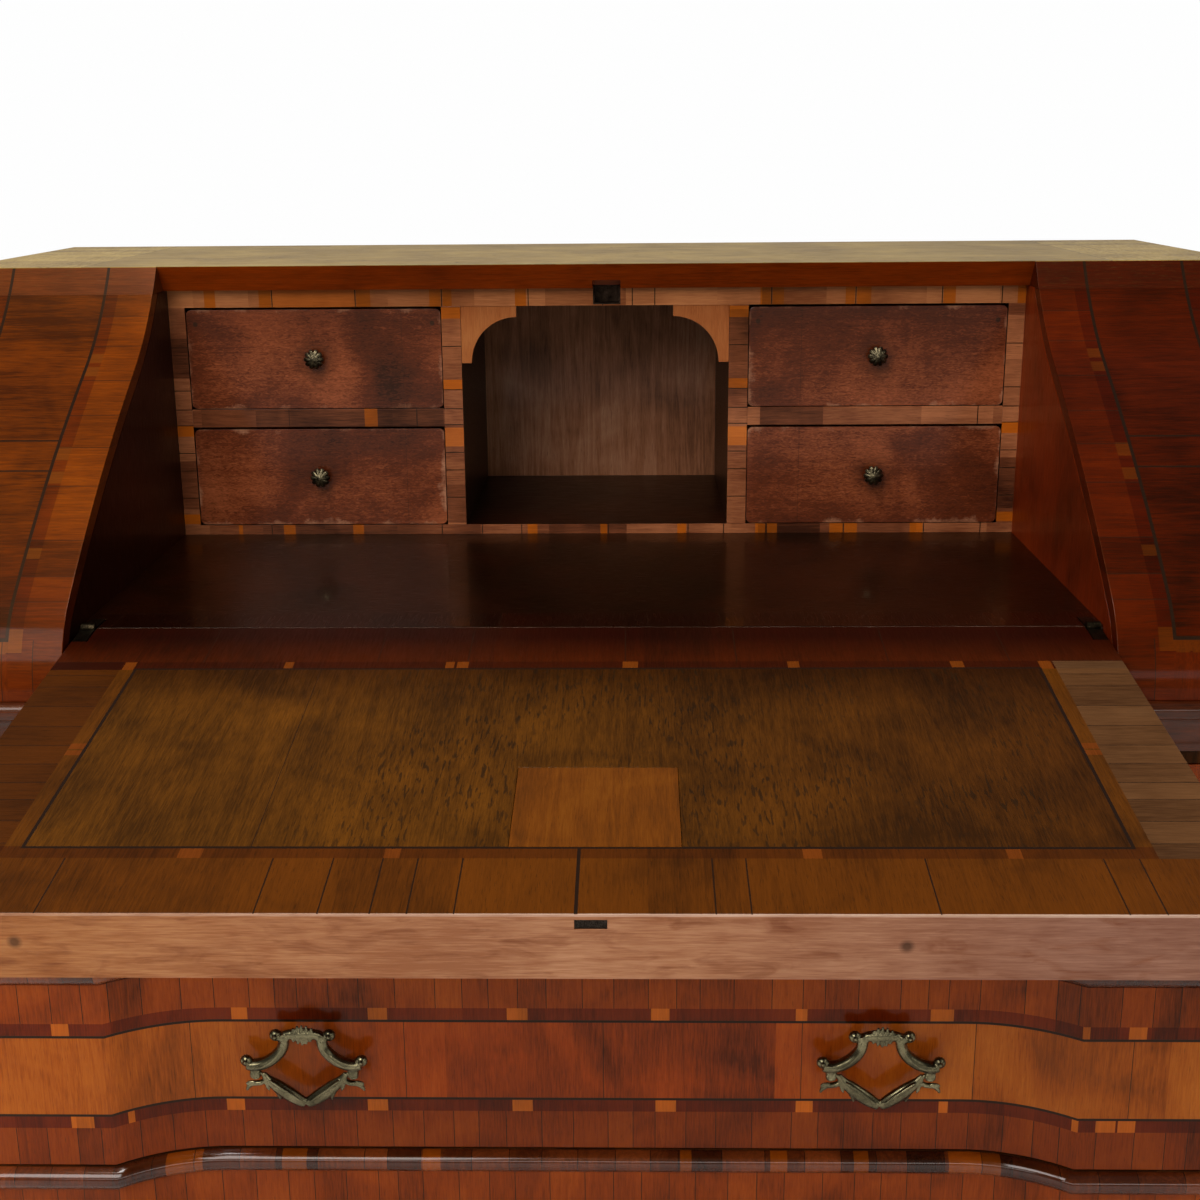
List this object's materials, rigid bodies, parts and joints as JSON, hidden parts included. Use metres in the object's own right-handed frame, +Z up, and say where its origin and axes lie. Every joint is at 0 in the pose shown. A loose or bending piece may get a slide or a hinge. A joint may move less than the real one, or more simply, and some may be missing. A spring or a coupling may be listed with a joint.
{
  "type": "slant-front desk",
  "caption": "Slant-front desk with serpentine front: drop-down writing fall on pull-out lopers, gallery of small drawers round an arched compartment, long drawers with bail handles.",
  "frame": {"origin": "centre of the floor area that the desk covers with its fall open, at floor level", "axes": "+Z up, +X to the right along the width of the case, the front faces -Y"},
  "size_m": [1.26, 1.057, 1.0855],
  "materials": {
    "walnut": "figured walnut veneer, french polished",
    "dark_walnut": "dark walnut, polished",
    "pale_walnut": "faded walnut veneer, worn polish",
    "softwood": "planed softwood, unpolished",
    "brass": "cast brass, darkened",
    "iron": "wrought iron, greenish patina"
  },
  "bodies": {
    "case": {"left_side": "walnut", "right_side": "walnut", "back_boards": "softwood", "top_board": "walnut", "carcase_bottom": "softwood", "wing_panels": "walnut", "cheeks": "dark_walnut", "writing_bed": "dark_walnut", "waist_rail": "walnut", "waist_moulding": "dark_walnut", "drawer_rails": "walnut", "bead_mouldings": "dark_walnut", "base_moulding": "dark_walnut", "bracket_feet": "dark_walnut", "drawer_runners": "softwood", "loper_guides": "softwood", "gallery_case": "walnut", "gallery_dividers": "walnut", "gallery_shelves": "walnut", "gallery_spandrels": "pale_walnut", "gallery_back": "dark_walnut", "lock_keeper": "brass", "hinge_bed_leaves": "iron", "hinge_pins": "iron"},
    "fall": {"fall_board": "pale_walnut", "lock_case": "brass", "lock_patch": "pale_walnut", "escutcheon": "brass", "hinge_fall_leaves": "iron"},
    "bolt": {"lock_bolt": "iron"},
    "left_support": {"left_loper": "walnut"},
    "right_support": {"right_loper": "walnut"},
    "top_drawer": {"top_drawer_front": "walnut", "top_drawer_box": "softwood", "top_handle_plates": "brass"},
    "middle_drawer": {"middle_drawer_front": "walnut", "middle_drawer_box": "softwood", "middle_handle_plates": "brass"},
    "bottom_drawer": {"bottom_drawer_front": "walnut", "bottom_drawer_box": "softwood", "bottom_handle_plates": "brass"},
    "top_left_handle": {"top_left_bail": "brass"},
    "top_right_handle": {"top_right_bail": "brass"},
    "middle_left_handle": {"middle_left_bail": "brass"},
    "middle_right_handle": {"middle_right_bail": "brass"},
    "bottom_left_handle": {"bottom_left_bail": "brass"},
    "bottom_right_handle": {"bottom_right_bail": "brass"},
    "upper_left_small_drawer": {"upper_left_small_front": "walnut", "upper_left_small_box": "softwood", "upper_left_knob": "brass"},
    "upper_right_small_drawer": {"upper_right_small_front": "walnut", "upper_right_small_box": "softwood", "upper_right_knob": "brass"},
    "lower_left_small_drawer": {"lower_left_small_front": "walnut", "lower_left_small_box": "softwood", "lower_left_knob": "brass"},
    "lower_right_small_drawer": {"lower_right_small_front": "walnut", "lower_right_small_box": "softwood", "lower_right_knob": "brass"}
  },
  "joints": [
    {"name": "fall_hinge", "type": "hinge", "parent": "case", "child": "fall", "pos_m": [0, -0.12646, 0.8145], "axis": [1, 0, 0], "range_deg": [-153.1, 0]},
    {"name": "bolt_slide", "type": "slide", "parent": "fall", "child": "bolt", "axis": [0, -0.9898, -0.1426], "range_m": [0, 0.012]},
    {"name": "left_loper_slide", "type": "slide", "parent": "case", "child": "left_support", "axis": [0, 1, 0], "range_m": [0, 0.16]},
    {"name": "right_loper_slide", "type": "slide", "parent": "case", "child": "right_support", "axis": [0, 1, 0], "range_m": [0, 0.16]},
    {"name": "top_drawer_slide", "type": "slide", "parent": "case", "child": "top_drawer", "axis": [0, -1, 0], "range_m": [0, 0.35]},
    {"name": "middle_drawer_slide", "type": "slide", "parent": "case", "child": "middle_drawer", "axis": [0, -1, 0], "range_m": [0, 0.35]},
    {"name": "bottom_drawer_slide", "type": "slide", "parent": "case", "child": "bottom_drawer", "axis": [0, -1, 0], "range_m": [0, 0.35]},
    {"name": "top_left_bail_hinge", "type": "hinge", "parent": "top_drawer", "child": "top_left_handle", "pos_m": [-0.251, -0.14746, 0.61525], "axis": [-1, 0, 0], "range_deg": [0, 75]},
    {"name": "top_right_bail_hinge", "type": "hinge", "parent": "top_drawer", "child": "top_right_handle", "pos_m": [0.251, -0.14746, 0.61525], "axis": [-1, 0, 0], "range_deg": [0, 75]},
    {"name": "middle_left_bail_hinge", "type": "hinge", "parent": "middle_drawer", "child": "middle_left_handle", "pos_m": [-0.251, -0.14746, 0.41425], "axis": [-1, 0, 0], "range_deg": [0, 75]},
    {"name": "middle_right_bail_hinge", "type": "hinge", "parent": "middle_drawer", "child": "middle_right_handle", "pos_m": [0.251, -0.14746, 0.41425], "axis": [-1, 0, 0], "range_deg": [0, 75]},
    {"name": "bottom_left_bail_hinge", "type": "hinge", "parent": "bottom_drawer", "child": "bottom_left_handle", "pos_m": [-0.251, -0.14746, 0.21325], "axis": [-1, 0, 0], "range_deg": [0, 75]},
    {"name": "bottom_right_bail_hinge", "type": "hinge", "parent": "bottom_drawer", "child": "bottom_right_handle", "pos_m": [0.251, -0.14746, 0.21325], "axis": [-1, 0, 0], "range_deg": [0, 75]},
    {"name": "upper_left_small_drawer_slide", "type": "slide", "parent": "case", "child": "upper_left_small_drawer", "axis": [0, -1, 0], "range_m": [0, 0.18]},
    {"name": "upper_right_small_drawer_slide", "type": "slide", "parent": "case", "child": "upper_right_small_drawer", "axis": [0, -1, 0], "range_m": [0, 0.18]},
    {"name": "lower_left_small_drawer_slide", "type": "slide", "parent": "case", "child": "lower_left_small_drawer", "axis": [0, -1, 0], "range_m": [0, 0.18]},
    {"name": "lower_right_small_drawer_slide", "type": "slide", "parent": "case", "child": "lower_right_small_drawer", "axis": [0, -1, 0], "range_m": [0, 0.18]}
  ]
}
